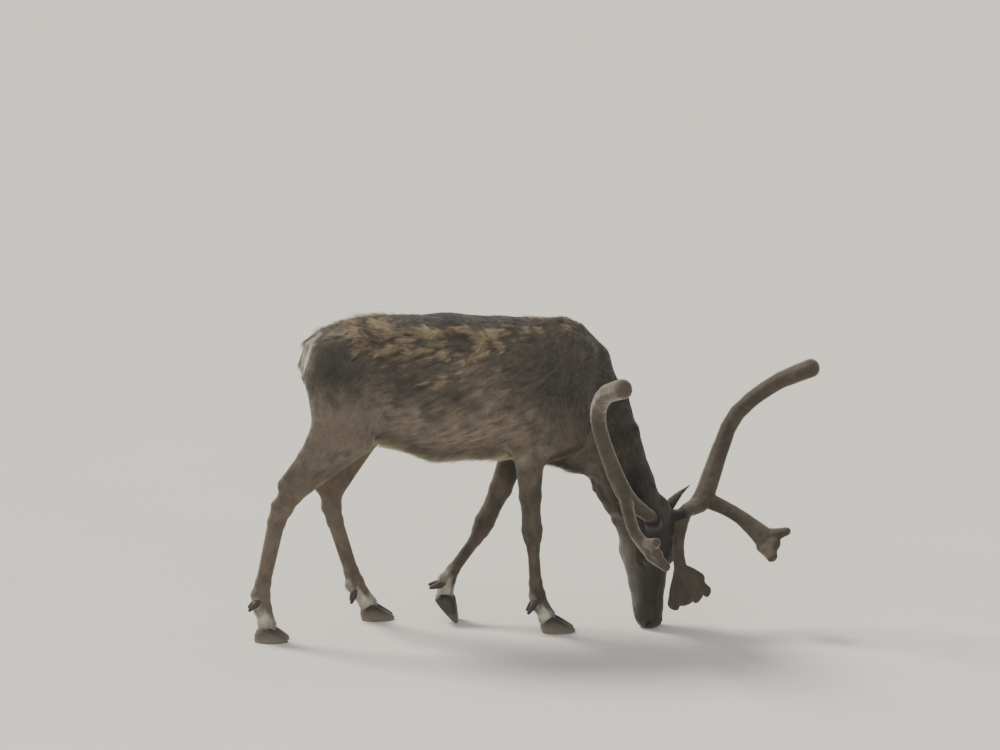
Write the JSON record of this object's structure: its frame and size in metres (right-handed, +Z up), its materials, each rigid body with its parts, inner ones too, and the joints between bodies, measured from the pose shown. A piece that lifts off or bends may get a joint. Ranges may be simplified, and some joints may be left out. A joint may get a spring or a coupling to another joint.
{
  "type": "reindeer",
  "caption": "Life-size reindeer stood walking with its head down to graze, in summer coat with forked antlers in velvet.",
  "frame": {"origin": "on the floor, under the middle of the bounding box", "axes": "+X the way the animal walks, from rump to nose, +Y to the animal's left, +Z up"},
  "size_m": [1.9777, 0.6991, 1.1014],
  "materials": {
    "coat": "short dense summer fur, matt",
    "face": "very short dark fur, matt",
    "velvet": "furred skin, matt",
    "horn": "dark horn, worn matt",
    "eye": "wet and clear"
  },
  "bodies": {
    "root": {"torso": "coat", "tail": "coat", "neck": "coat", "claw_fore_right_outer": "horn", "dewclaw_fore_right_outer": "horn", "claw_fore_right_inner": "horn", "dewclaw_fore_right_inner": "horn", "leg_fore_right": "coat", "claw_fore_left_outer": "horn", "dewclaw_fore_left_outer": "horn", "claw_fore_left_inner": "horn", "dewclaw_fore_left_inner": "horn", "leg_fore_left": "coat", "claw_hind_right_outer": "horn", "dewclaw_hind_right_outer": "horn", "claw_hind_right_inner": "horn", "dewclaw_hind_right_inner": "horn", "leg_hind_right": "coat", "claw_hind_left_outer": "horn", "dewclaw_hind_left_outer": "horn", "claw_hind_left_inner": "horn", "dewclaw_hind_left_inner": "horn", "leg_hind_left": "coat", "eye_left": "eye", "ear_left": "face", "eye_right": "eye", "ear_right": "face", "head": "face", "antler_left_brow": "velvet", "antler_left_beam_lower": "velvet", "antler_left_beam_upper": "velvet", "antler_left_bez": "velvet", "antler_right_beam_lower": "velvet", "antler_right_beam_upper": "velvet", "antler_right_bez": "velvet"}
  },
  "joints": []
}
